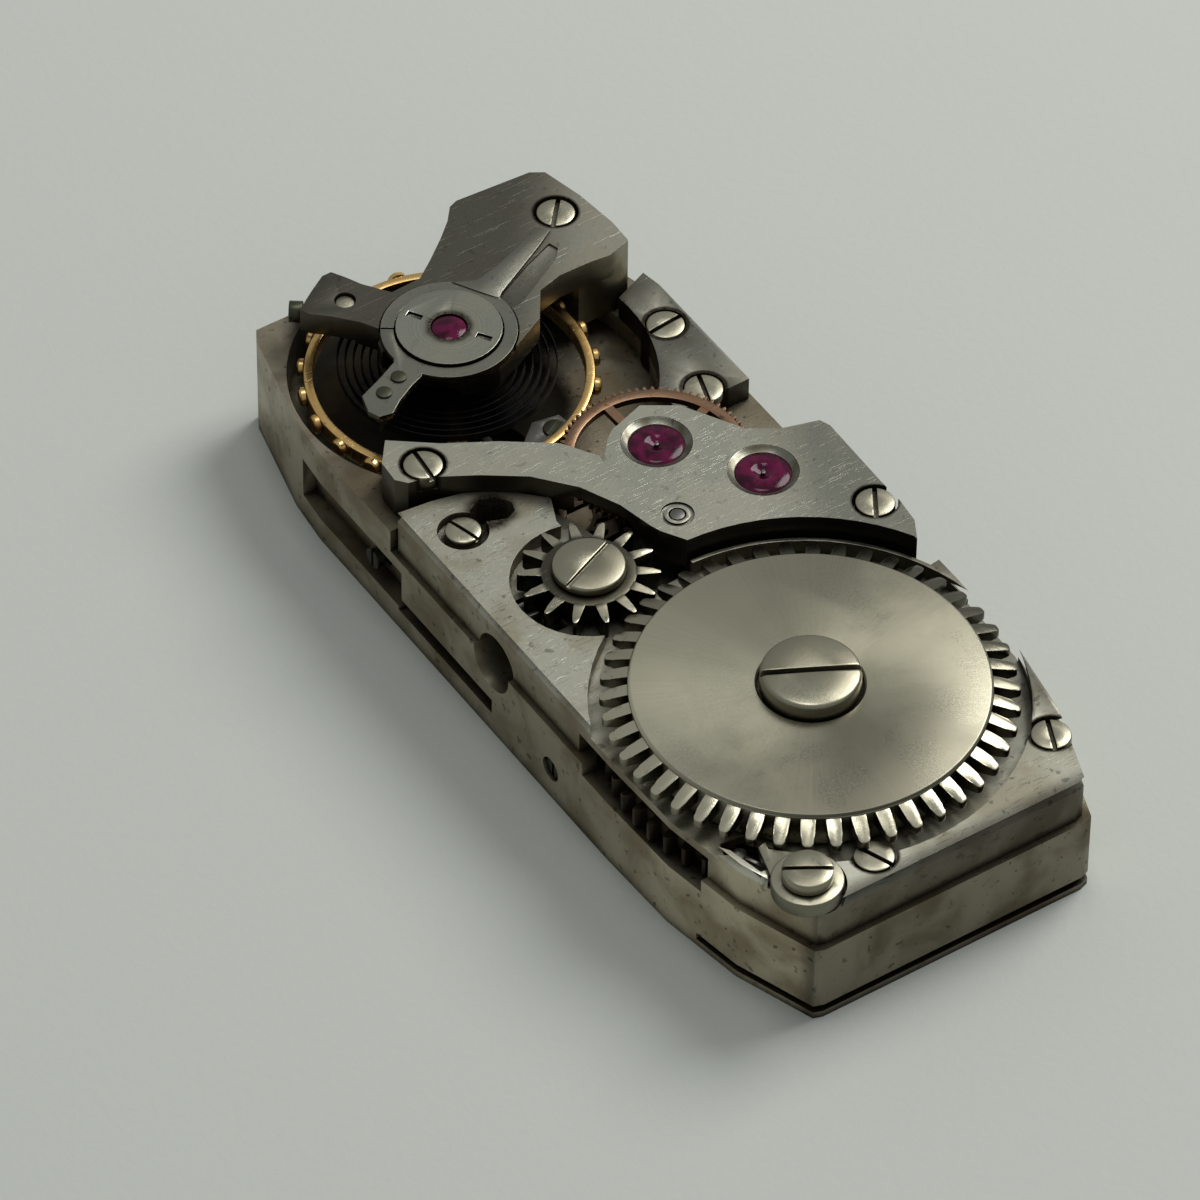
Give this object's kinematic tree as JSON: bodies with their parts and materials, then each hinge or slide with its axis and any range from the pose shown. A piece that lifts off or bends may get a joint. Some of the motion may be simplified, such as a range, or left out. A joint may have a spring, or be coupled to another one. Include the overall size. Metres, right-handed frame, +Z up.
{
  "type": "watch_movement",
  "caption": "Narrow rectangular hand-wound watch movement with its bridges, going train, winding wheels, balance and regulator",
  "frame": {"origin": "centre of the plate's outline, at the level of the dial seat", "axes": "+Y runs along the movement from the barrel end to the balance end, +X across it, +Z up from the dial side to the bridge side"},
  "size_m": [0.0084, 0.0198, 0.0038],
  "materials": {
    "plate": "satin, plated, worn",
    "bridge": "satin, plated",
    "cock": "darker satin",
    "polished_steel": "polished",
    "wheel_steel": "sunray satin",
    "pinion_steel": "polished",
    "screw_steel": "flat polished heads",
    "gilt": "gilt",
    "copper_gilt": "rose gilt",
    "barrel_brass": "plated brass",
    "ruby": "polished",
    "spring_steel": "tempered",
    "cap_metal": "fine satin"
  },
  "bodies": {
    "frame": {"main_plate": "plate", "barrel_bridge": "bridge", "train_bridge": "bridge", "side_bridge": "bridge", "balance_cock": "cock", "pallet_bridge": "plate", "bridge_screws": "screw_steel", "pallet_bridge_screws": "screw_steel", "train_jewels": "ruby", "plate_jewels": "ruby", "balance_hole_jewel": "ruby", "cap_plate": "cap_metal", "cap_jewel": "ruby", "hairspring": "spring_steel", "hairspring_stud": "pinion_steel", "stud_screw": "screw_steel", "crown_wheel_core": "wheel_steel", "crown_wheel_screw": "polished_steel", "setting_lever_screw": "screw_steel", "click_screw": "polished_steel", "click_spring": "spring_steel", "dial_posts": "pinion_steel", "dial_cover": "plate", "dial_cover_screws": "screw_steel", "dial_foot_screws": "screw_steel"},
    "regulator_index": {"regulator": "bridge", "curb_pins": "pinion_steel"},
    "balance": {"balance_wheel": "gilt", "timing_screws": "gilt", "balance_staff": "pinion_steel", "roller": "pinion_steel", "hairspring_collet": "gilt"},
    "pallets": {"pallet_fork": "pinion_steel", "pallet_stones": "ruby"},
    "escape": {"escape_wheel": "gilt", "escape_pinion": "pinion_steel"},
    "fourth": {"fourth_wheel": "copper_gilt", "fourth_pinion": "pinion_steel"},
    "third": {"third_wheel": "copper_gilt", "third_pinion": "pinion_steel"},
    "centre": {"centre_wheel": "copper_gilt", "centre_pinion": "pinion_steel", "cannon_pinion": "pinion_steel"},
    "minute_works": {"minute_wheel": "copper_gilt"},
    "hour_works": {"hour_wheel": "copper_gilt"},
    "setting": {"setting_wheel": "pinion_steel"},
    "barrel": {"barrel_drum": "barrel_brass", "barrel_cover": "barrel_brass", "mainspring": "spring_steel"},
    "ratchet": {"barrel_arbor": "pinion_steel", "ratchet_wheel": "wheel_steel", "ratchet_screw": "polished_steel"},
    "crown": {"crown_wheel": "wheel_steel"},
    "winding": {"winding_pinion": "pinion_steel"},
    "clutch": {"clutch_wheel": "pinion_steel"},
    "setting_arm": {"setting_lever": "pinion_steel"},
    "yoke_arm": {"yoke": "pinion_steel"},
    "click_pawl": {"click": "wheel_steel"}
  },
  "joints": [
    {"name": "fourth_turn", "type": "hinge", "parent": "frame", "child": "fourth", "pos_m": [0.00102, 0.002, 0.003], "axis": [0, 0, 1], "continuous": true},
    {"name": "escape_turn", "type": "hinge", "parent": "frame", "child": "escape", "pos_m": [-0.00091, 0.00272, 0.0018], "axis": [0, 0, 1], "continuous": true},
    {"name": "third_turn", "type": "hinge", "parent": "frame", "child": "third", "pos_m": [0.00234, 0.0002, 0.00233], "axis": [0, 0, 1], "continuous": true},
    {"name": "centre_turn", "type": "hinge", "parent": "frame", "child": "centre", "pos_m": [0.00024, 0.0001, 0.00105], "axis": [0, 0, 1], "continuous": true},
    {"name": "minute_turn", "type": "hinge", "parent": "frame", "child": "minute_works", "pos_m": [-0.00062, 0.00142, 0.0004], "axis": [0, 0, 1], "continuous": true},
    {"name": "hour_turn", "type": "hinge", "parent": "frame", "child": "hour_works", "pos_m": [0.00024, 0.0001, 0.0002], "axis": [0, 0, 1], "continuous": true},
    {"name": "setting_turn", "type": "hinge", "parent": "frame", "child": "setting", "pos_m": [-0.00213, 0.00099, 0.00044], "axis": [0, 0, 1], "continuous": true},
    {"name": "barrel_turn", "type": "hinge", "parent": "frame", "child": "barrel", "pos_m": [-0.00015, -0.0051, 0.0014], "axis": [0, 0, 1], "continuous": true},
    {"name": "crown_turn", "type": "hinge", "parent": "frame", "child": "crown", "pos_m": [-0.00195, -0.00007, 0.00296], "axis": [0, 0, 1], "continuous": true},
    {"name": "ratchet_turn", "type": "hinge", "parent": "frame", "child": "ratchet", "pos_m": [-0.00015, -0.0051, 0.003], "axis": [0, 0, 1], "continuous": true},
    {"name": "winding_turn", "type": "hinge", "parent": "frame", "child": "winding", "pos_m": [-0.00314, -0.00007, 0.00185], "axis": [1, 0, 0], "continuous": true},
    {"name": "balance_swing", "type": "hinge", "parent": "frame", "child": "balance", "pos_m": [-0.00079, 0.00677, 0.0023], "axis": [0, 0, 1], "range_deg": [-270, 270], "stiffness_Nm_per_rad": 0.00000004},
    {"name": "pallet_swing", "type": "hinge", "parent": "frame", "child": "pallets", "pos_m": [-0.00096, 0.0041, 0.0018], "axis": [0, 0, 1], "range_deg": [-5, 5]},
    {"name": "regulator_swing", "type": "hinge", "parent": "frame", "child": "regulator_index", "pos_m": [-0.00079, 0.00677, 0.00355], "axis": [0, 0, 1], "range_deg": [-8, 8]},
    {"name": "click_lift", "type": "hinge", "parent": "frame", "child": "click_pawl", "pos_m": [-0.00292, -0.00906, 0.00293], "axis": [0, 0, 1], "range_deg": [0, 14], "stiffness_Nm_per_rad": 0.000002},
    {"name": "setting_lever_swing", "type": "hinge", "parent": "frame", "child": "setting_arm", "pos_m": [-0.00329, 0.00238, 0.00078], "axis": [0, 0, 1], "range_deg": [0, 8]},
    {"name": "yoke_swing", "type": "hinge", "parent": "frame", "child": "yoke_arm", "pos_m": [-0.0023, -0.0012, 0.00076], "axis": [0, 0, 1], "range_deg": [-6, 0]},
    {"name": "clutch_slide", "type": "slide", "parent": "frame", "child": "clutch", "axis": [1, 0, 0], "range_m": [0, 0.000118]}
  ],
  "couplings": [
    {"joint": "escape_turn", "follows": "fourth_turn", "ratio": -12.5},
    {"joint": "third_turn", "follows": "fourth_turn", "ratio": -0.22222},
    {"joint": "centre_turn", "follows": "fourth_turn", "ratio": 0.020833},
    {"joint": "minute_turn", "follows": "fourth_turn", "ratio": -0.0069444},
    {"joint": "hour_turn", "follows": "fourth_turn", "ratio": 0.0017361},
    {"joint": "setting_turn", "follows": "fourth_turn", "ratio": 0.020833},
    {"joint": "barrel_turn", "follows": "fourth_turn", "ratio": -0.0065586},
    {"joint": "ratchet_turn", "follows": "crown_turn", "ratio": -0.30435},
    {"joint": "winding_turn", "follows": "crown_turn", "ratio": 1.2727},
    {"joint": "yoke_swing", "follows": "clutch_slide", "rad_per_m": -887.45},
    {"joint": "setting_lever_swing", "follows": "clutch_slide", "rad_per_m": 1183.3}
  ]
}
